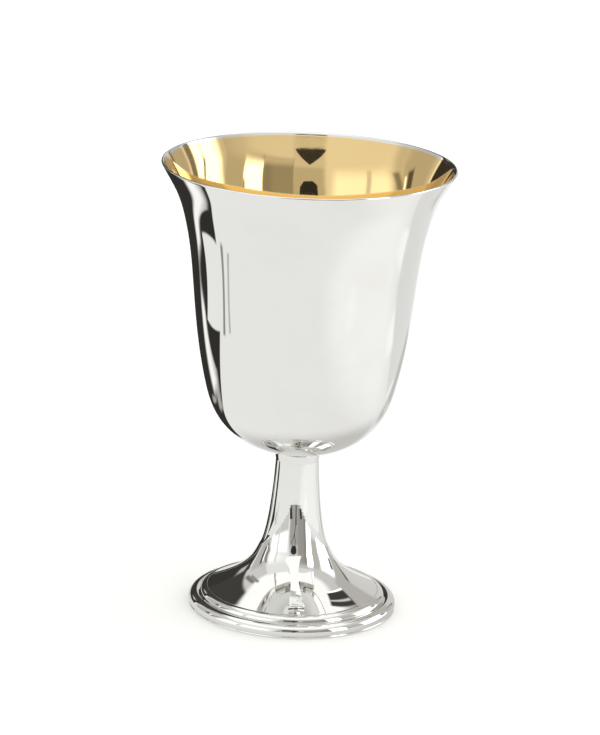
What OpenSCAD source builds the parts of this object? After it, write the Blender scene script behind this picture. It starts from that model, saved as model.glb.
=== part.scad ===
// A footed, flared cup of spun metal with a gilt lining. The cup unscrews from its foot.
// Millimetres. +Z is up along the axis of the cup, and the origin is on that axis at the table.
// The front of the cup, where the cross is, faces -Y.

/* [Cup] */
// Radius of the lip, outside
lip_r = 56; // [54:0.5:60]
// Height of the lip above the table
lip_z = 175.7; // [173:0.1:180]
// Slope of the wall just under the lip, in degrees from level
lip_slope = 60.3; // [57:0.1:64]
// Outer radius where the flare meets the body
flare_r = 45.6; // [44:0.1:47]
// Height where the flare meets the body
flare_z = 150.6; // [148:0.1:153]
// Slope of the wall where the flare meets the body
flare_slope = 77.8; // [76:0.1:80]
// Outer radius where the body meets the round bottom
shoulder_r = 36.5; // [35:0.1:38]
// Height where the body meets the round bottom
shoulder_z = 89.2; // [86:0.1:92]
// Slope of the wall where the body meets the round bottom
shoulder_slope = 76.1; // [74:0.1:78]
// Height of the underside of the cup on its axis
cup_bottom_z = 63.1; // [63:0.1:64]
// Thickness of the cup's wall
cup_wall = 0.9; // [0.7:0.1:1.2]
// Thickness of the gilt lining
lining_t = 0.15; // [0.1:0.05:0.3]

/* [Stem and foot] */
// Outer radius of the stem at its top
stem_r = 8.4; // [8.4:0.1:9]
// Height of the top of the stem
stem_top_z = 59.6; // [59:0.1:60]
// Outer radius where the stem meets the spreading foot
waist_r = 13.3; // [12.5:0.1:14]
// Height where the stem meets the spreading foot
waist_z = 25; // [24:0.1:26]
// Slope where the stem meets the spreading foot
waist_slope = 63.2; // [61:0.1:66]
// Radius of the outer edge of the skirt
skirt_r = 33.2; // [32:0.1:34]
// Height of the outer edge of the skirt
skirt_z = 7.4; // [7:0.1:8]
// Slope of the skirt at its outer edge
skirt_slope = 25; // [22:0.1:28]
// Thickness of the foot's wall
foot_wall = 0.9; // [0.7:0.1:1.1]

/* [Foot mouldings] */
// Section radius of the upper half-round ring
upper_round_r = 2.75; // [2.5:0.05:3]
// Largest radius of the lower half-round ring
base_r = 40.3; // [39.5:0.1:41.5]
// Section radius of the lower half-round ring
lower_round_r = 2.85; // [2.7:0.05:3]
// Height of the middle of the lower half-round
lower_round_z = 2.2; // [2:0.1:2.3]
// Radius of the wire's centre line
wire_r = 39.55; // [39:0.05:39.6]
// Diameter of the wire
wire_d = 1.1; // [0.9:0.1:1.2]

/* [Fixing] */
// Outer radius of the collar on top of the stem
collar_r = 8.9; // [8.7:0.1:9.2]
// Height of the top of the collar
collar_top_z = 63; // [62.6:0.1:63]
// Diameter of the screw stud
stud_d = 8; // [6:0.5:8]
// Height of the bottom end of the stud
stud_low_z = 46; // [44:0.5:50]
// Height of the lower end of the bush
bush_low_z = 48; // [46:0.5:52]
// Outer radius of the bush below its flange
bush_r = 6.2; // [5.5:0.1:6.5]
// Thickness of the seat washer
washer_t = 0.8; // [0.5:0.1:0.8]

/* [Cross] */
// Length of the upper arm from the centre of the cross
arm_up = 9; // [8:0.1:9.5]
// Length of the lower arm from the centre of the cross
arm_down = 12.8; // [12:0.1:13.4]
// Length of each side arm from the centre of the cross
arm_side = 7.5; // [6:0.1:8.5]
// Width of the arms where they cross
arm_waist = 3.1; // [2.5:0.1:3.5]
// Width of the upper and side arms at their ends
arm_end = 6.1; // [5:0.1:7]
// Width of the lower arm at its end
foot_arm_end = 6.2; // [5:0.1:7]
// Height of the cross's face above the skirt at the end of the upper arm
top_rise = 2; // [1:0.1:2.4]
// Height of the cross's face above the skirt at the end of the lower arm
bottom_rise = 1.6; // [1:0.1:2.4]
// Turn of the hollow face from the middle of its length to either end, in degrees
cross_bend = 7; // [3:0.5:10]
// Turn of the cross round the foot, away from the front
cross_turn = 2; // [0:0.5:10]
// Lean of the cross in its own plane
cross_lean = 4; // [0:0.5:6]

/* [Hidden] */
$fn = 96;

silver = "silver";
gold = "gold";
brass = "goldenrod";
leather = "saddlebrown";

// Steps along each stretch of a curved wall
wall_steps = 32;
// Steps round a small rounded edge
edge_steps = 8;
// Surplus that cutting shapes reach past what they cut
surplus = 1;

// The cup's wall, from the lip down to the axis. Each station is a point, the heading of the
// wall there in degrees, and how far the curve is led in and out, as parts of the span's length.
cup_stations = [
    [[lip_r, lip_z], 180 + lip_slope, 0, 0.41],
    [[flare_r, flare_z], 180 + flare_slope, 0.51, 0.29],
    [[shoulder_r, shoulder_z], 180 + shoulder_slope, 0.41, 0.165],
    [[0, cup_bottom_z], 180, 0.665, 0]
];
// The foot's wall, from the top of the stem out to the edge of the skirt.
foot_stations = [
    [[stem_r, stem_top_z], 270, 0, 0.09],
    [[waist_r, waist_z], 360 - waist_slope, 0.22, 0.23],
    [[skirt_r, skirt_z], 360 - skirt_slope, 0.68, 0]
];

// The lining stops this many steps of the curve short of the lip
lining_setback = 1;

// The top of the stem is turned in to carry the bush's flange
stem_lip_t = 1.2;
flange_r = 7.6;
flange_t = 1.5;
flange_top_z = stem_top_z + flange_t;
boss_r = 7.3;
boss_low_z = flange_top_z + washer_t;
washer_r = 7.2;
washer_hole_r = stud_d / 2 + 0.4;
stud_fit = 0.05;
stud_sunk = 0.6;
stud_chamfer = 0.8;
collar_edge_r = 0.2;

// The upper ring is a quarter-round that starts level with the skirt's edge
upper_low_z = skirt_z - upper_round_r;
upper_out_r = skirt_r + upper_round_r;
upper_in_r = skirt_r - 1.6;
lower_in_r = upper_in_r + 2.8;
lower_round_centre_r = base_r - lower_round_r;
lower_low_z = 1;
// The wire's round section is dressed flat underneath by this much
wire_flat = 0.1;
wire_z = wire_d / 2 - wire_flat;

// The cross's face is hollowed along its length, and lies over the hollow of the skirt.
// Its two ends are set out above two points on the skirt.
skirt_top = [14.05, 23.45];
skirt_bottom = [30.1, 8.9];
skirt_fall = skirt_bottom - skirt_top;
skirt_lift = heading(90 + atan2(skirt_fall[1], skirt_fall[0]));
face_top = skirt_top + top_rise * skirt_lift;
face_bottom = skirt_bottom + bottom_rise * skirt_lift;
face_fall = face_bottom - face_top;
cross_slope = -atan2(face_fall[1], face_fall[0]);
cross_centre = face_top + arm_up * face_fall / norm(face_fall);
// Radius of the hollow, and how far its curve is carried to each side of the middle
face_r = norm(face_fall) / 2 / sin(cross_bend);
face_reach = 12.5;
// Depth that the cross's blank reaches below its ends before the skirt trims it
cross_depth = 5.5;
// How sharply the arms widen towards their ends
arm_flare = 1.4;
arm_steps = 5;

function heading(angle) = [cos(angle), sin(angle)];

function bezier(p, t) =
    pow(1 - t, 3) * p[0] + 3 * pow(1 - t, 2) * t * p[1] + 3 * (1 - t) * t * t * p[2] + pow(t, 3) * p[3];

function bezier_direction(p, t) =
    pow(1 - t, 2) * (p[1] - p[0]) + 2 * (1 - t) * t * (p[2] - p[1]) + t * t * (p[3] - p[2]);

// Control points of the curve between two stations
function span(from, to) =
    let (reach = norm(to[0] - from[0]))
    [from[0], from[0] + from[3] * reach * heading(from[1]),
        to[0] - to[2] * reach * heading(to[1]), to[0]];

// The side of a wall that is on the right hand of someone walking along it
function right_of(direction) = [direction[1], -direction[0]] / norm(direction);

// A wall's line through its stations, moved to its right by a distance
function wall_line(stations, inset) = [
    for (i = [0 : len(stations) - 2])
        for (k = [i == 0 ? 0 : 1 : wall_steps])
            let (p = span(stations[i], stations[i + 1]), t = k / wall_steps)
            bezier(p, t) + inset * right_of(bezier_direction(p, t))
];

function reversed(points) = [for (i = [len(points) - 1 : -1 : 0]) points[i]];

function after(points, first) = [for (i = [first : len(points) - 1]) points[i]];

// Points on an arc, without its two ends
function arc(centre, radius, from, to) = [
    for (k = [1 : edge_steps - 1]) centre + radius * heading(from + (to - from) * k / edge_steps)
];

module ring(inner_r, outer_r, low_z, high_z) {
    translate([0, 0, low_z])
        difference() {
            cylinder(r = outer_r, h = high_z - low_z);
            translate([0, 0, -surplus])
                cylinder(r = inner_r, h = high_z - low_z + 2 * surplus);
        }
}

module bowl_shell() {
    outer = wall_line(cup_stations, 0);
    inner = wall_line(cup_stations, cup_wall);
    lip_normal = 90 + lip_slope;
    color(silver)
        rotate_extrude()
            polygon(concat(
                outer,
                reversed(inner),
                arc((outer[0] + inner[0]) / 2, cup_wall / 2, lip_normal, lip_normal - 180)
            ));
}

module gilt_lining() {
    color(gold)
        rotate_extrude()
            polygon(concat(
                after(wall_line(cup_stations, cup_wall), lining_setback),
                reversed(after(wall_line(cup_stations, cup_wall + lining_t), lining_setback))
            ));
}

// Everything inside the outer surface of the cup
module cup_envelope() {
    rotate_extrude()
        polygon(concat(wall_line(cup_stations, 0), [[0, lip_z]]));
}

module bowl_boss() {
    color(brass)
        difference() {
            translate([0, 0, boss_low_z])
                cylinder(r = boss_r, h = shoulder_z - boss_low_z);
            cup_envelope();
            stud_blank();
        }
}

module stud_blank() {
    translate([0, 0, stud_low_z + stud_chamfer])
        cylinder(d = stud_d, h = boss_low_z + stud_sunk - stud_low_z - stud_chamfer);
}

module threaded_stud() {
    color(brass) {
        stud_blank();
        translate([0, 0, stud_low_z])
            cylinder(r1 = stud_d / 2 - stud_chamfer, r2 = stud_d / 2, h = stud_chamfer);
    }
}

module seat_washer() {
    color(leather)
        ring(washer_hole_r, washer_r, flange_top_z, boss_low_z);
}

module stem_collar() {
    edge_centre = [collar_r - collar_edge_r, collar_top_z - collar_edge_r];
    color(silver)
        rotate_extrude()
            polygon(concat(
                [[flange_r, stem_top_z], [stem_r, stem_top_z], [collar_r, edge_centre[1]]],
                arc(edge_centre, collar_edge_r, 0, 90),
                [[edge_centre[0], collar_top_z], [flange_r, collar_top_z]]
            ));
}

module threaded_bush() {
    bore_r = stud_d / 2 + stud_fit;
    color(brass)
        difference() {
            union() {
                translate([0, 0, bush_low_z])
                    cylinder(r = bush_r, h = flange_top_z - bush_low_z);
                translate([0, 0, stem_top_z])
                    cylinder(r = flange_r, h = flange_t);
            }
            translate([0, 0, bush_low_z - surplus])
                cylinder(r = bore_r, h = flange_top_z - bush_low_z + 2 * surplus);
        }
}

module stem_foot_wall() {
    rotate_extrude()
        polygon(concat(
            wall_line(foot_stations, 0),
            reversed(wall_line(foot_stations, foot_wall))
        ));
}

module stem_foot() {
    color(silver) {
        stem_foot_wall();
        ring(bush_r, stem_r - foot_wall / 2, stem_top_z - stem_lip_t, stem_top_z);
    }
}

// Everything inside the outer surface of the stem and foot
module foot_envelope() {
    rotate_extrude()
        polygon(concat(wall_line(foot_stations, 0), [[0, skirt_z], [0, stem_top_z]]));
}

module upper_foot_ring() {
    centre = [skirt_r, upper_low_z];
    color(silver)
        difference() {
            rotate_extrude()
                polygon(concat(
                    [[upper_in_r, upper_low_z], [upper_out_r, upper_low_z]],
                    arc(centre, upper_round_r, 0, 90),
                    [[skirt_r, skirt_z], [upper_in_r, skirt_z]]
                ));
            stem_foot_wall();
        }
}

module lower_foot_ring() {
    centre = [lower_round_centre_r, lower_round_z];
    from = -asin((lower_round_z - lower_low_z) / lower_round_r);
    to = 180 - asin((upper_low_z - lower_round_z) / lower_round_r);
    color(silver)
        difference() {
            rotate_extrude()
                polygon(concat(
                    [[lower_in_r, lower_low_z], centre + lower_round_r * heading(from)],
                    arc(centre, lower_round_r, from, to),
                    [centre + lower_round_r * heading(to), [lower_in_r, upper_low_z]]
                ));
            foot_wire_ring();
        }
}

module foot_wire_ring() {
    difference() {
        translate([0, 0, wire_z])
            rotate_extrude()
                translate([wire_r, 0])
                    circle(d = wire_d);
        translate([0, 0, -surplus])
            cylinder(r = wire_r + wire_d, h = surplus);
    }
}

module foot_wire() {
    color(silver)
        foot_wire_ring();
}

// One side of an arm of the cross, from the waist outwards. side is 1 or -1.
function arm_side_line(length, end_width, side) = [
    for (k = [0 : arm_steps])
        let (along = arm_waist / 2 + (length - arm_waist / 2) * k / arm_steps)
        [along, side * (arm_waist + (end_width - arm_waist) * pow(k / arm_steps, arm_flare)) / 2]
];

// An arm's outline turned to its own direction, without its last point, which the next arm repeats
function arm_outline(length, end_width, angle) =
    let (
        out = arm_side_line(length, end_width, -1),
        back = reversed(arm_side_line(length, end_width, 1)),
        both = concat(out, back)
    )
    [for (i = [0 : len(both) - 2])
        both[i][0] * heading(angle) + both[i][1] * heading(angle + 90)];

module cross_blank() {
    translate([0, 0, -cross_depth])
        linear_extrude(height = cross_depth + surplus)
            polygon(concat(
                arm_outline(arm_side, arm_end, 0),
                arm_outline(arm_up, arm_end, 90),
                arm_outline(arm_side, arm_end, 180),
                arm_outline(arm_down, foot_arm_end, 270)
            ));
}

// A hollow-sided cone whose surface holds the cross's face
module cross_face_cone() {
    down = 270 - cross_slope;
    turn = asin(face_reach / face_r);
    centre = (face_top + face_bottom) / 2 - face_r * cos(cross_bend) * heading(down);
    low = centre + face_r * heading(down + turn);
    high = centre + face_r * heading(down - turn);
    rotate_extrude()
        polygon(concat(
            [[0, low[1]], low],
            arc(centre, face_r, down + turn, down - turn),
            [high, [0, high[1]]]
        ));
}

module cross() {
    color(silver)
        difference() {
            intersection() {
                rotate([0, 0, cross_turn])
                    translate([0, -cross_centre[0], cross_centre[1]])
                        rotate([cross_slope, 0, 0])
                            rotate([0, 0, cross_lean])
                                cross_blank();
                cross_face_cone();
            }
            foot_envelope();
        }
}

bowl_shell();
gilt_lining();
bowl_boss();
threaded_stud();
seat_washer();
stem_collar();
threaded_bush();
stem_foot();
upper_foot_ring();
lower_foot_ring();
foot_wire();
cross();
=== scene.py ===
from math import ceil, cos, hypot, pi, radians, sin

import bmesh
import bpy
from mathutils import Matrix, Vector


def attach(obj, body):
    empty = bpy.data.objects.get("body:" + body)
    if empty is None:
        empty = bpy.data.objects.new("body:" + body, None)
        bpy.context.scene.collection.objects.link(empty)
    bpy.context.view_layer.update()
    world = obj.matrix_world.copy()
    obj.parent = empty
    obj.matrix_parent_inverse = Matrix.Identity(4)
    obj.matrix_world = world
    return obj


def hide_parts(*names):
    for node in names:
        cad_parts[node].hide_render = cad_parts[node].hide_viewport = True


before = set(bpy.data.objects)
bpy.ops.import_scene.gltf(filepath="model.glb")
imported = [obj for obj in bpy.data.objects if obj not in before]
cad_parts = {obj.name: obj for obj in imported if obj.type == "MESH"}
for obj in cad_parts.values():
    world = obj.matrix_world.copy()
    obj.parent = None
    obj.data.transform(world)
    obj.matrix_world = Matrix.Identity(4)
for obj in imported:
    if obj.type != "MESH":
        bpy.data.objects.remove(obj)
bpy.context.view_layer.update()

MM = 0.001

# ---------------------------------------------------------------------------------------------
# Turned pieces. Each one is revolved afresh, from the section of its CAD node, finely enough for
# a mirror finish.
# ---------------------------------------------------------------------------------------------

SAME_POINT = 0.006 * MM      # section points nearer than this are one point
CORNER_TURN = radians(28)    # the section turns by more than this only at a real corner
SECTION_STEP = 0.55 * MM     # the longest stretch left between two points of a section
AROUND = 288                 # facets round the axis


def section_of(node):
    """The outline of a turned CAD node, as a list of (radius, height) points in order.

    With it goes whether the outline is closed. It isn't where it starts and ends on the axis."""
    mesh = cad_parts[node].data
    points, index_of = [], []
    cells = {}
    for v in mesh.vertices:
        rz = (hypot(v.co.x, v.co.y), v.co.z)
        cell = (round(rz[0] / SAME_POINT), round(rz[1] / SAME_POINT))
        near = [cells[cell[0] + i, cell[1] + j] for i in (-1, 0, 1) for j in (-1, 0, 1)
                if (cell[0] + i, cell[1] + j) in cells]
        if not near:
            near = [len(points)]
            points.append(rz)
        cells[cell] = near[0]
        index_of.append(near[0])
    links = {i: {} for i in range(len(points))}
    for a, b in mesh.edge_keys:
        i, j = index_of[a], index_of[b]
        if i != j:
            links[i][j] = links[i].get(j, 0) + 1
            links[j][i] = links[j].get(i, 0) + 1
    ends = sorted(i for i in links if points[i][0] < SAME_POINT)
    start = ends[0] if ends else max(links, key=lambda i: points[i])
    order, before, here = [start], None, start
    while True:
        ahead = [j for j in links[here] if j != before and j not in order]
        if not ahead:
            break
        # a short link beats a long one where a facet's diagonal skips a point
        before, here = here, min(ahead, key=lambda j: -links[here][j])
        order.append(here)
    return [Vector(points[i]) for i in order], not ends


def turn_at(a, b, c):
    """How far a line turns at b on its way from a to c."""
    ab, bc = b - a, c - b
    if ab.length < 1e-9 or bc.length < 1e-9:
        return 0
    return abs(ab.angle_signed(bc))


def softened(points, closed, radius):
    """The outline with a small round at each real corner, which catches the light as a worked edge does."""
    out, n = [], len(points)
    for i, p in enumerate(points):
        if not closed and i in (0, n - 1):
            out.append(p)
            continue
        a, c = points[i - 1], points[(i + 1) % n]
        if turn_at(a, p, c) < CORNER_TURN:
            out.append(p)
            continue
        back = min(radius, (a - p).length * 0.45)
        on = min(radius, (c - p).length * 0.45)
        start, end = p + (a - p).normalized() * back, p + (c - p).normalized() * on
        out += [start.lerp(p, t).lerp(p.lerp(end, t), t) for t in (0, 0.2, 0.4, 0.6, 0.8, 1)]
    return out


def refined(points, closed):
    """More points on a smooth line through an outline's own, with its real corners kept.

    The line is a centripetal Catmull-Rom curve."""
    n = len(points)
    out = []
    for i in range(n if closed else n - 1):
        b, c = points[i], points[(i + 1) % n]
        a = points[i - 1] if closed or i > 0 else 2 * b - c
        d = points[(i + 2) % n] if closed or i + 2 < n else 2 * c - b
        if turn_at(a, b, c) > CORNER_TURN:
            a = 2 * b - c
        if turn_at(b, c, d) > CORNER_TURN:
            d = 2 * c - b
        t = [0]
        for p, q in ((a, b), (b, c), (c, d)):
            t.append(t[-1] + max((q - p).length, 1e-7) ** 0.5)
        steps = max(1, ceil((c - b).length / SECTION_STEP))
        for k in range(steps):
            u = t[1] + (t[2] - t[1]) * k / steps
            ab = a.lerp(b, (u - t[0]) / (t[1] - t[0]))
            bc = b.lerp(c, (u - t[1]) / (t[2] - t[1]))
            cd = c.lerp(d, (u - t[2]) / (t[3] - t[2]))
            abc = ab.lerp(bc, (u - t[0]) / (t[2] - t[0]))
            bcd = bc.lerp(cd, (u - t[1]) / (t[3] - t[1]))
            out.append(abc.lerp(bcd, (u - t[1]) / (t[2] - t[1])))
    if not closed:
        out.append(points[-1])
    return out


def lathe(name, points, closed):
    """A piece revolved about Z from an outline of (radius, height)."""
    bm = bmesh.new()
    rings = []
    for r, z in points:
        if r < SAME_POINT:
            rings.append([bm.verts.new((0, 0, z))])
        else:
            angles = [2 * pi * k / AROUND for k in range(AROUND)]
            rings.append([bm.verts.new((r * cos(a), r * sin(a), z)) for a in angles])
    pairs = list(zip(rings, rings[1:] + rings[:1] if closed else rings[1:]))
    for low, high in pairs:
        for k in range(AROUND):
            here, beside = k, k + 1
            corners = [low[here % len(low)], low[beside % len(low)],
                       high[beside % len(high)], high[here % len(high)]]
            bm.faces.new(list(dict.fromkeys(corners)))
    bmesh.ops.recalc_face_normals(bm, faces=bm.faces)
    return piece_from(name, bm)


def piece_from(name, bm):
    """A smooth-shaded object made from a bmesh, with its sharp edges kept."""
    mesh = bpy.data.meshes.new(name)
    bm.to_mesh(mesh)
    bm.free()
    mesh.shade_smooth()
    mesh.set_sharp_from_angle(angle=radians(40))
    piece = bpy.data.objects.new(name, mesh)
    bpy.context.scene.collection.objects.link(piece)
    return piece


def turned(node, body, material, edge=0.12 * MM):
    """The visible piece that stands for a turned CAD node."""
    points, closed = section_of(node)
    piece = lathe(node + "_turned", refined(softened(points, closed, edge), closed), closed)
    piece.data.materials.append(material)
    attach(piece, body)
    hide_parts(node)
    return piece


# ---------------------------------------------------------------------------------------------
# Materials
# ---------------------------------------------------------------------------------------------


class Shader:
    """A short way to write a node tree: each call adds one node and returns its output."""

    def __init__(self, tree):
        self.tree = tree

    def add(self, kind, inputs=(), output=0, **settings):
        node = self.tree.nodes.new(kind)
        for name, value in settings.items():
            setattr(node, name, value)
        for key, value in dict(inputs).items():
            if isinstance(value, bpy.types.NodeSocket):
                self.tree.links.new(value, node.inputs[key])
            else:
                node.inputs[key].default_value = value
        return node.outputs[output]

    def math(self, operation, *values):
        return self.add("ShaderNodeMath", enumerate(values), operation=operation)

    def split(self, vector):
        node = self.tree.nodes.new("ShaderNodeSeparateXYZ")
        self.tree.links.new(vector, node.inputs[0])
        return node.outputs

    def vector(self, x, y, z):
        return self.add("ShaderNodeCombineXYZ", {0: x, 1: y, 2: z})

    def noise(self, vector, scale, detail=2.0, roughness=0.5):
        return self.add("ShaderNodeTexNoise", {"Vector": vector, "Scale": scale, "Detail": detail,
                                               "Roughness": roughness})

    def ramp(self, value, low, high, to_low=0.0, to_high=1.0):
        return self.add("ShaderNodeMapRange", {"Value": value, "From Min": low, "From Max": high,
                                               "To Min": to_low, "To Max": to_high},
                        interpolation_type="SMOOTHSTEP")

    def blend(self, factor, a, b):
        return self.add("ShaderNodeMix", {0: factor, 2: a, 3: b})

    def mix(self, factor, a, b):
        return self.add("ShaderNodeMix", {0: factor, 6: a, 7: b}, output=2, data_type="RGBA")


def new_material(name):
    material = bpy.data.materials.new(name)
    material.use_nodes = True
    tree = material.node_tree
    return material, Shader(tree), tree.nodes["Principled BSDF"]


def lap_coordinates(s, lean):
    """Coordinates stretched round the axis, so that noise in them makes the fine rings of spinning.

    lean is 1 where the wall widens upwards and -1 where it widens downwards."""
    x, y, z = s.split(s.add("ShaderNodeTexCoord", output="Object"))
    radius = s.math("SQRT", s.math("ADD", s.math("MULTIPLY", x, x), s.math("MULTIPLY", y, y)))
    along = s.math("ADD", z, s.math("MULTIPLY", radius, lean))
    return s.vector(s.math("MULTIPLY", x, 0.03), s.math("MULTIPLY", y, 0.03), along)


def polished(name, color, tarnish, lean, roughness):
    """A mirror-polished plate: fine laps round the axis, hairlines, faint haze and a trace of tarnish."""
    material, s, shader = new_material(name)
    place = s.add("ShaderNodeTexCoord", output="Object")
    laps = s.noise(lap_coordinates(s, lean), 2600.0, 3.0, 0.6)
    rubbed = s.add("ShaderNodeMapping", {"Vector": place, "Rotation": (0.4, 0.9, 0.3),
                                         "Scale": (900, 60, 2400)})
    hairlines = s.noise(rubbed, 1.0, 2.0)
    haze = s.noise(place, 38.0, 4.0, 0.55)
    worn = s.math("ADD", s.math("MULTIPLY", laps, 0.5), s.math("MULTIPLY", hairlines, 0.5))
    rough = s.math("ADD", s.ramp(worn, 0.35, 0.75, roughness * 0.6, roughness * 1.5),
                   s.ramp(haze, 0.45, 0.75, 0.0, roughness * 0.9))
    tint = s.mix(s.ramp(haze, 0.4, 0.8, 0.0, 0.35), color, tarnish)
    s.tree.links.new(tint, shader.inputs["Base Color"])
    s.tree.links.new(rough, shader.inputs["Roughness"])
    shader.inputs["Metallic"].default_value = 1.0
    bump = s.add("ShaderNodeBump", {"Strength": 0.05, "Distance": 0.00001, "Height": worn})
    s.tree.links.new(bump, shader.inputs["Normal"])
    return material


def turned_brass():
    """Plain machined brass: clear tool rings and a dull warm tint."""
    material, s, shader = new_material("turned_brass")
    place = s.add("ShaderNodeTexCoord", output="Object")
    rings = s.noise(lap_coordinates(s, 1.0), 3200.0, 1.0)
    stain = s.noise(place, 260.0, 4.0, 0.6)
    tint = s.mix(s.ramp(stain, 0.35, 0.7), (0.72, 0.50, 0.22, 1), (0.50, 0.33, 0.14, 1))
    s.tree.links.new(tint, shader.inputs["Base Color"])
    s.tree.links.new(s.ramp(rings, 0.3, 0.7, 0.18, 0.42), shader.inputs["Roughness"])
    shader.inputs["Metallic"].default_value = 1.0
    bump = s.add("ShaderNodeBump", {"Strength": 0.5, "Distance": 0.00004, "Height": rings})
    s.tree.links.new(bump, shader.inputs["Normal"])
    return material


def pressed_leather():
    """Compressed washer leather: fine pores and a blotchy darker stain."""
    material, s, shader = new_material("pressed_leather")
    place = s.add("ShaderNodeTexCoord", output="Object")
    pores = s.add("ShaderNodeTexVoronoi", {"Vector": place, "Scale": 3200.0})
    stain = s.noise(place, 420.0, 4.0, 0.6)
    tint = s.mix(s.ramp(stain, 0.35, 0.7), (0.20, 0.10, 0.05, 1), (0.11, 0.055, 0.03, 1))
    s.tree.links.new(tint, shader.inputs["Base Color"])
    s.tree.links.new(s.ramp(pores, 0.0, 0.6, 0.75, 0.5), shader.inputs["Roughness"])
    bump = s.add("ShaderNodeBump", {"Strength": 0.6, "Distance": 0.00006, "Height": pores})
    s.tree.links.new(bump, shader.inputs["Normal"])
    return material


SILVER = (0.800, 0.800, 0.780, 1)
SILVER_TARNISH = (0.745, 0.725, 0.675, 1)
GOLD = (0.85, 0.64, 0.31, 1)
GOLD_TARNISH = (0.80, 0.575, 0.25, 1)

bowl_silver = polished("bowl_silver", SILVER, SILVER_TARNISH, 1.0, 0.022)
foot_silver = polished("foot_silver", SILVER, SILVER_TARNISH, -1.0, 0.022)
gilt = polished("gilt", GOLD, GOLD_TARNISH, 1.0, 0.045)
brass = turned_brass()
leather = pressed_leather()

# ---------------------------------------------------------------------------------------------
# The pieces
# ---------------------------------------------------------------------------------------------

turned("bowl_shell", "bowl", bowl_silver)
turned("gilt_lining", "bowl", gilt, edge=0.05 * MM)
turned("bowl_boss", "bowl", brass)
turned("threaded_stud", "bowl", brass)
turned("seat_washer", "washer", leather)
turned("stem_collar", "foot", foot_silver, edge=0.02 * MM)
turned("threaded_bush", "foot", brass)
turned("stem_foot", "foot", foot_silver, edge=0.02 * MM)
turned("upper_foot_ring", "foot", foot_silver)
turned("lower_foot_ring", "foot", foot_silver)
turned("foot_wire", "foot", foot_silver)


def applied_cross():
    """The cross, with its CAD node's own faces, shaded smooth with its sharp edges kept."""
    bm = bmesh.new()
    bm.from_mesh(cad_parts["cross"].data)
    bmesh.ops.remove_doubles(bm, verts=bm.verts, dist=0.004 * MM)
    piece = piece_from("cross_applied", bm)
    piece.data.materials.append(foot_silver)
    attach(piece, "foot")
    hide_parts("cross")
    return piece


applied_cross()

# ---------------------------------------------------------------------------------------------
# The studio: a pale table, a white tent of soft light, and a few dark cards that only show as
# reflections, as the polished metal needs something to reflect.
# ---------------------------------------------------------------------------------------------


TABLE_BRIGHTNESS = 0.975
TABLE_FRONT = -0.43     # the table's front edge
BAY_RADIUS = 0.41       # the table ends nearer than that straight before the camera
BAY_EDGES = (-27, 47)   # between these azimuths, in degrees
EDGE_SOFT = 0.006

# Patches of light and dark on the table that only the metal shows, in metres. Each one is a convex
# shape with its corners anticlockwise as seen from above, how soft its edges are, and how bright
# it is. A later patch covers an earlier one.
TABLE_PATCHES = [
    # the far side of the table, which less light reaches
    ([(0.17, 0.10), (0.40, 0.09), (0.90, 0.60), (0.20, 0.60)], 0.020, 0.86),
    ([(-3.0, 0.62), (3.0, 0.62), (3.0, 4.0), (-3.0, 4.0)], 0.100, 0.45),
    # the light on the right
    ([(0.245, 0.055), (0.30, 0.03), (0.34, 0.10), (0.265, 0.105)], 0.030, 1.18),
    # the brighter right front
    ([(0.12, -0.40), (0.50, -0.40), (0.50, 0.06), (0.14, 0.06)], 0.120, 1.10),
    ([(0.235, -0.36), (0.34, -0.36), (0.30, -0.20), (0.215, -0.20)], 0.050, 1.18),
    # the shade under the bowl
    ([(-0.06, 0.0), (0.0, -0.05), (0.08, -0.02), (0.11, 0.07), (0.0, 0.10), (-0.06, 0.06)], 0.060, 0.66),
    # a cloth on the right
    ([(0.085, 0.095), (0.125, 0.085), (0.19, 0.23), (0.19, 0.33), (0.13, 0.33)], 0.045, 0.60),
    ([(0.108, 0.135), (0.118, 0.130), (0.132, 0.160), (0.122, 0.165)], 0.012, 0.98),
    ([(0.153, 0.118), (0.162, 0.115), (0.176, 0.165), (0.166, 0.168)], 0.012, 1.08),
    # things hanging from the table's front edge, and the foot of the camera's stand
    ([(-0.27, -0.70), (-0.13, -0.70), (-0.11, -0.40), (-0.175, -0.385)], 0.020, 0.055),
    ([(0.25, -0.62), (0.34, -0.60), (0.215, -0.40), (0.13, -0.41)], 0.020, 0.05),
    ([(0.028, -0.70), (0.078, -0.70), (0.036, -0.41), (0.004, -0.41)], 0.008, 0.05),
    ([(0.09, -2.0), (0.27, -2.0), (0.078, -0.70), (0.028, -0.70)], 0.010, 0.06),
    # a black sheet behind, on the left
    ([(-0.291, 0.030), (-0.050, 0.074), (-0.030, 0.80), (-0.291, 0.80)], 0.006, 0.035),
    ([(-0.70, 0.158), (-0.28, 0.158), (-0.28, 0.80), (-0.70, 0.80)], 0.006, 0.035),
    # silver lying on the sheet
    ([(-0.262, 0.160), (-0.205, 0.072), (-0.192, 0.082), (-0.240, 0.165)], 0.012, 0.62),
    ([(-0.205, 0.070), (-0.130, 0.060), (-0.112, 0.088), (-0.190, 0.098)], 0.018, 0.50),
    ([(-0.300, 0.200), (-0.186, 0.078), (-0.150, 0.112), (-0.300, 0.268)], 0.030, 1.15),
    ([(-0.150, 0.100), (-0.128, 0.112), (-0.112, 0.150), (-0.136, 0.150)], 0.012, 0.45),
    # a rod at the left
    ([(-0.42, -0.034), (-0.279, -0.012), (-0.283, 0.004), (-0.42, -0.018)], 0.008, 0.33),
    ([(-0.42, -0.068), (-0.277, -0.052), (-0.279, -0.040), (-0.42, -0.056)], 0.008, 0.55),
]


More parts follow.
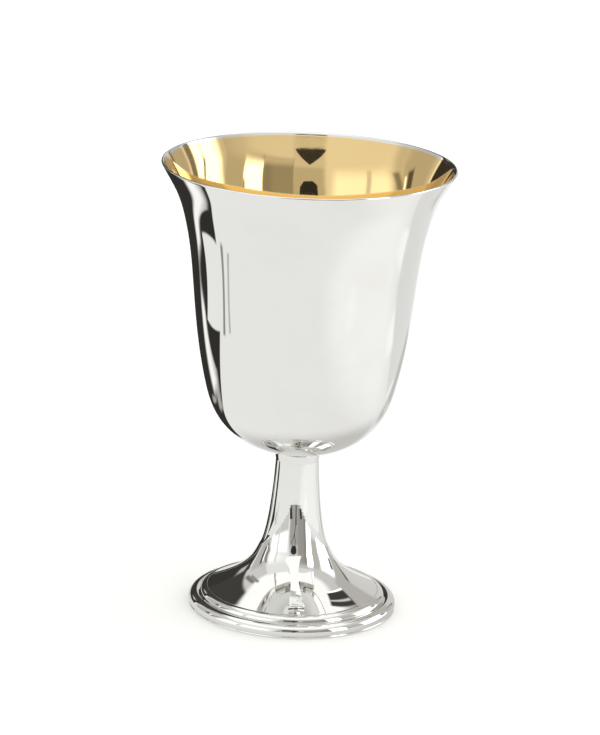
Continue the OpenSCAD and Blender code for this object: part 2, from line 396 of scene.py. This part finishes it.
def table_brightness(s):
    """The table's brightness in reflections, from its patches.

    The tent starts at its straight front edge, which has a round bay before the camera."""
    x, y, _ = s.split(s.add("ShaderNodeTexCoord", output="Object"))
    azimuth = s.math("ARCTAN2", x, s.math("MULTIPLY", y, -1.0))
    distance = s.math("SQRT", s.math("ADD", s.math("MULTIPLY", x, x), s.math("MULTIPLY", y, y)))
    left, right = [radians(edge) for edge in BAY_EDGES]
    in_bay = s.math("MULTIPLY", s.ramp(azimuth, left - 0.02, left + 0.02),
                    s.ramp(azimuth, right - 0.01, right + 0.01, 1.0, 0.0))
    past_bay = s.math("MULTIPLY", in_bay, s.ramp(distance, BAY_RADIUS - EDGE_SOFT, BAY_RADIUS + EDGE_SOFT))
    past_front = s.ramp(y, TABLE_FRONT - 2 * EDGE_SOFT, TABLE_FRONT + 2 * EDGE_SOFT, 1.0, 0.0)
    past_edge = s.math("MAXIMUM", past_bay, past_front)
    brightness = s.blend(past_edge, TABLE_BRIGHTNESS, tent_brightness(s, azimuth, 0.0))
    for corners, soft, level in TABLE_PATCHES:
        mask = 1.0
        for (x0, y0), (x1, y1) in zip(corners, corners[1:] + corners[:1]):
            length = hypot(x1 - x0, y1 - y0)
            inward_x, inward_y = (y0 - y1) / length, (x1 - x0) / length
            depth = s.math("ADD", s.math("MULTIPLY", x, inward_x),
                           s.math("MULTIPLY_ADD", y, inward_y, -x0 * inward_x - y0 * inward_y))
            mask = s.math("MULTIPLY", mask, s.ramp(depth, -soft / 2, soft / 2))
        brightness = s.blend(mask, brightness, level)
    return brightness


def pale_floor():
    """A plain pale table. The metal sees it with its patches, and everything else sees it plain.

    From below it is clear, so that the foot's underside can be looked at."""
    bm = bmesh.new()
    bmesh.ops.create_grid(bm, x_segments=1, y_segments=1, size=6)
    floor = piece_from("floor", bm)
    material, s, shader = new_material("pale_table")
    tree = material.node_tree
    grain = s.noise(s.add("ShaderNodeTexCoord", output="Object"), 3.0, 3.0)
    pale = s.mix(grain, (0.90, 0.90, 0.885, 1), (0.92, 0.92, 0.905, 1))
    tree.links.new(pale, shader.inputs["Base Color"])
    shader.inputs["Roughness"].default_value = 0.9
    shader.inputs["Specular IOR Level"].default_value = 0.0
    path = tree.nodes.new("ShaderNodeLightPath")
    brightness = table_brightness(s)
    glow = s.add("ShaderNodeEmission", {"Color": tinted(s, brightness), "Strength": brightness})
    both = s.add("ShaderNodeMixShader", {0: path.outputs["Is Glossy Ray"], 1: shader.outputs[0], 2: glow})
    below = s.add("ShaderNodeNewGeometry", output="Backfacing")
    clear = s.add("ShaderNodeBsdfTransparent")
    tree.links.new(s.add("ShaderNodeMixShader", {0: below, 1: both, 2: clear}),
                   tree.nodes["Material Output"].inputs["Surface"])
    floor.data.materials.append(material)


# Patches of the tent round the table, in degrees as seen from the object: azimuth from the front,
# positive to the right. Each one has its left and right edges at its foot, the same at its top, its
# lowest and highest elevation, how soft its sides and its ends are, and how bright it is.
TENT_BRIGHTNESS = 0.70
TENT_PATCHES = [
    # the roof
    ((-181, 181), (-181, 181), (50, 95), (1, 7), 1.25),
    ((62, 136), (62, 136), (33, 54), (16, 9), 0.72),
    ((-200, -98), (-200, -98), (24, 47), (16, 6), 0.74),
    # the back, out of the light
    ((128, 200), (128, 200), (-20, 42), (10, 4), 0.56),
    ((152, 200), (148, 200), (-20, 24), (2, 4), 0.74),
    ((150, 153), (146, 149), (-20, 24), (1.5, 4), 0.18),
    ((-127, -98), (-127, -98), (-20, 30), (4, 6), 0.58),
    ((-182, -127), (-182, -134), (-20, 24), (4, 4), 0.045),
    ((-176, -137), (-176, -137), (20, 50), (5, 4), 0.06),
    ((-152, -142), (-150, -143), (13, 21), (5, 5), 0.60),
    ((-132, -129), (-135, -132), (-6, 20), (1.5, 6), 1.10),
    # left wall: brightest low down, with a seam and a stand
    ((-92, -14), (-84, -14), (-20, 52), (10, 5), 0.95),
    ((-96, -24), (-80, -24), (-20, 27), (10, 18), 1.45),
    ((-78, -24), (-78, -24), (-20, 1), (6, 3), 0.66),
    ((-62, -57), (-62, -57), (-20, 30), (3, 4), 0.84),
    ((-103, -96), (-92, -85), (4, 26), (5, 4), 0.30),
    ((-109, -103), (-109, -103), (9, 24), (2, 3), 0.12),
    ((-101.5, -99.5), (-101.5, -99.5), (8, 21), (1, 3), 2.0),
    ((-136, -130), (-126, -120), (34, 49), (4, 4), 0.24),
    ((-128, -122), (-118, -112), (38, 53), (4, 4), 0.34),
    # the opening at the front: the room, and the strip of light over the camera
    ((-24, 47), (-15, 46), (-20, 16), (8, 8), 0.44),
    ((-15, 16), (-14, 16), (12, 33), (6, 6), 0.60),
    ((-15, 16), (-14, 16), (33, 50), (6, 6), 0.76),
    ((14, 47), (16, 46), (-20, 42), (1.5, 3), 0.38),
    ((36, 47), (38, 46), (-20, 42), (10, 3), 0.31),
    ((16, 46), (16, 45), (34, 50), (2, 8), 0.64),
    ((16, 68), (16, 68), (41, 52), (6, 4), 0.86),
    # the bright strip on the right front, and the wall past it
    ((46.5, 67), (46, 65), (-20, 34), (1.5, 12), 3.0),
    ((66, 68), (64, 66), (-20, 18), (1, 6), 0.38),
    ((68, 87), (66, 85), (-20, 36), (2, 10), 0.58),
    ((67, 90), (67, 90), (-20, 2), (2, 6), 0.95),
    # the large light on the right, with a stand before it
    ((88, 128), (92, 126), (-3, 33), (9, 10), 3.0),
    ((111, 113.5), (108, 110.5), (7, 25), (1.5, 3), 0.25),
    ((120, 128), (120, 128), (7, 24), (3, 4), 0.25),
    # a dark fitting with bright rims, over the back right corner
    ((138, 149), (127, 143), (41, 58), (1.5, 2), 0.06),
    ((136.5, 138.5), (125.5, 127.5), (41, 58), (1, 2), 1.8),
    ((144.5, 146), (137, 138.5), (42, 58), (1, 2), 0.75),
]
TENT_COLOR = (1.0, 0.998, 0.99, 1)
SHADE_COLOR = (1.0, 0.955, 0.88, 1)
SHADE_RANGE = (0.30, 0.97)    # the brightness of the warmest shade, and of the plain tent
TABLE_LIGHT = 1.24      # what the table is lit by
BACKDROP_LIGHT = 1.0    # what the camera sees behind the object


def tent_brightness(s, azimuth, elevation):
    """The tent's brightness in a direction, from its patches."""
    brightness = TENT_BRIGHTNESS
    for foot, top, heights, soft, level in TENT_PATCHES:
        low, high = radians(heights[0]), radians(heights[1])
        side, end = radians(soft[0]) / 2, radians(soft[1]) / 2
        middle = radians(foot[0] + foot[1]) / 2
        turned_to = s.math("WRAP", s.math("SUBTRACT", azimuth, middle), pi, -pi)
        edges = [s.add("ShaderNodeMapRange", {"Value": elevation, "From Min": low, "From Max": high,
                                              "To Min": radians(foot[k]) - middle,
                                              "To Max": radians(top[k]) - middle}) for k in (0, 1)]
        from_left = s.ramp(s.math("SUBTRACT", turned_to, edges[0]), -side, side)
        from_right = s.ramp(s.math("SUBTRACT", edges[1], turned_to), -side, side)
        from_low = s.ramp(elevation, low - end, low + end)
        from_high = s.ramp(elevation, high - end, high + end, 1.0, 0.0)
        mask = s.math("MULTIPLY", s.math("MULTIPLY", from_left, from_right),
                      s.math("MULTIPLY", from_low, from_high))
        brightness = s.blend(mask, brightness, level)
    return brightness


def tinted(s, brightness):
    """The colour of the studio at a brightness: the shaded parts are a little warmer."""
    return s.mix(s.ramp(brightness, *SHADE_RANGE), SHADE_COLOR, TENT_COLOR)


def studio_world():
    """A soft white tent. The metal reflects its patches, and everything else is lit evenly."""
    world = bpy.data.worlds.new("studio")
    bpy.context.scene.world = world
    world.use_nodes = True
    tree = world.node_tree
    tree.nodes.clear()
    s = Shader(tree)
    x, y, z = s.split(s.add("ShaderNodeTexCoord", output="Generated"))
    azimuth = s.math("ARCTAN2", x, s.math("MULTIPLY", y, -1.0))
    elevation = s.math("ARCSINE", z)
    brightness = tent_brightness(s, azimuth, elevation)
    path = tree.nodes.new("ShaderNodeLightPath")
    seen = s.blend(path.outputs["Is Camera Ray"], brightness, BACKDROP_LIGHT)
    lit = s.blend(path.outputs["Is Diffuse Ray"], seen, TABLE_LIGHT)
    light = s.add("ShaderNodeBackground", {"Color": tinted(s, lit), "Strength": lit})
    out = tree.nodes.new("ShaderNodeOutputWorld")
    tree.links.new(light, out.inputs["Surface"])


def dark_card(name, corners, brightness):
    """A flat dark card that shows only in the metal, and only from its front."""
    bm = bmesh.new()
    bm.faces.new([bm.verts.new(c) for c in corners])
    card = piece_from(name, bm)
    material = bpy.data.materials.new(name)
    material.use_nodes = True
    tree = material.node_tree
    tree.nodes.clear()
    s = Shader(tree)
    glow = s.add("ShaderNodeEmission", {"Color": (1, 1, 1, 1), "Strength": brightness})
    behind = s.add("ShaderNodeNewGeometry", output="Backfacing")
    clear = s.add("ShaderNodeBsdfTransparent")
    out = tree.nodes.new("ShaderNodeOutputMaterial")
    tree.links.new(s.add("ShaderNodeMixShader", {0: behind, 1: glow, 2: clear}), out.inputs["Surface"])
    card.data.materials.append(material)
    card.visible_camera = False
    card.visible_diffuse = False
    card.visible_shadow = False


def camera_and_stand():
    """The dark shape of the camera on its stand, before the opening of the tent, in (x, height) points."""
    front = -0.546
    leg_width = 0.020
    outline = [(-0.085, 0.19), (-0.05, 0.155), (0.05, 0.15), (0.085, 0.19), (0.092, 0.26), (0.085, 0.33),
               (0.05, 0.37), (-0.03, 0.377), (-0.08, 0.345), (-0.098, 0.27)]
    dark_card("camera_shape", [(x, front, z) for x, z in reversed(outline)], 0.035)
    legs = [
        ((-0.055, 0.16), (-0.075, 0.11), (0.010, 0.055)),
        ((0.035, 0.155), (0.045, 0.11), (0.000, 0.055)),
        ((0.005, 0.060), (0.040, 0.020), (0.042, -0.010)),
    ]
    for i, leg in enumerate(legs):
        left = [(x - leg_width / 2, front, z) for x, z in leg]
        right = [(x + leg_width / 2, front, z) for x, z in leg]
        dark_card("camera_leg_%d" % i, right + left[::-1], 0.05)


def tent_gap():
    """The dark gap in the roof of the tent, over the lens. Only the cup's inside faces it."""
    seen_from = Vector((0, 0.045, 0.152))
    through = Vector((0, -0.20, 0.37))
    across = Vector((0, -sin(radians(55)), -cos(radians(55))))
    corners = []
    for azimuth, elevation in ((0, 48.8), (15, 48.2), (0, 38), (-16, 48.2)):
        a, e = radians(azimuth), radians(elevation)
        ray = Vector((sin(a) * cos(e), -cos(a) * cos(e), sin(e)))
        corners.append(seen_from + ray * ((through - seen_from).dot(across) / ray.dot(across)))
    dark_card("tent_gap", corners, 0.05)


pale_floor()
studio_world()
camera_and_stand()
tent_gap()

# ---------------------------------------------------------------------------------------------
# The camera, at the height and angle of a table-top photograph
# ---------------------------------------------------------------------------------------------

CAMERA_AT = Vector((0.0, -1.3531, 0.4885))
LOOKS_AT = Vector((-0.0005, 0.0, 0.0962))
CAMERA_ROLL = radians(2.39)
LENS = 179.7


def camera():
    data = bpy.data.cameras.new("camera")
    data.lens = LENS
    data.sensor_width = 36
    data.clip_end = 50
    cam = bpy.data.objects.new("camera", data)
    bpy.context.scene.collection.objects.link(cam)
    aim = (LOOKS_AT - CAMERA_AT).to_track_quat("-Z", "Y").to_matrix().to_4x4()
    cam.matrix_world = Matrix.Translation(CAMERA_AT) @ aim @ Matrix.Rotation(CAMERA_ROLL, 4, "Z")
    bpy.context.scene.camera = cam


camera()
bpy.context.scene.view_settings.view_transform = "Standard"
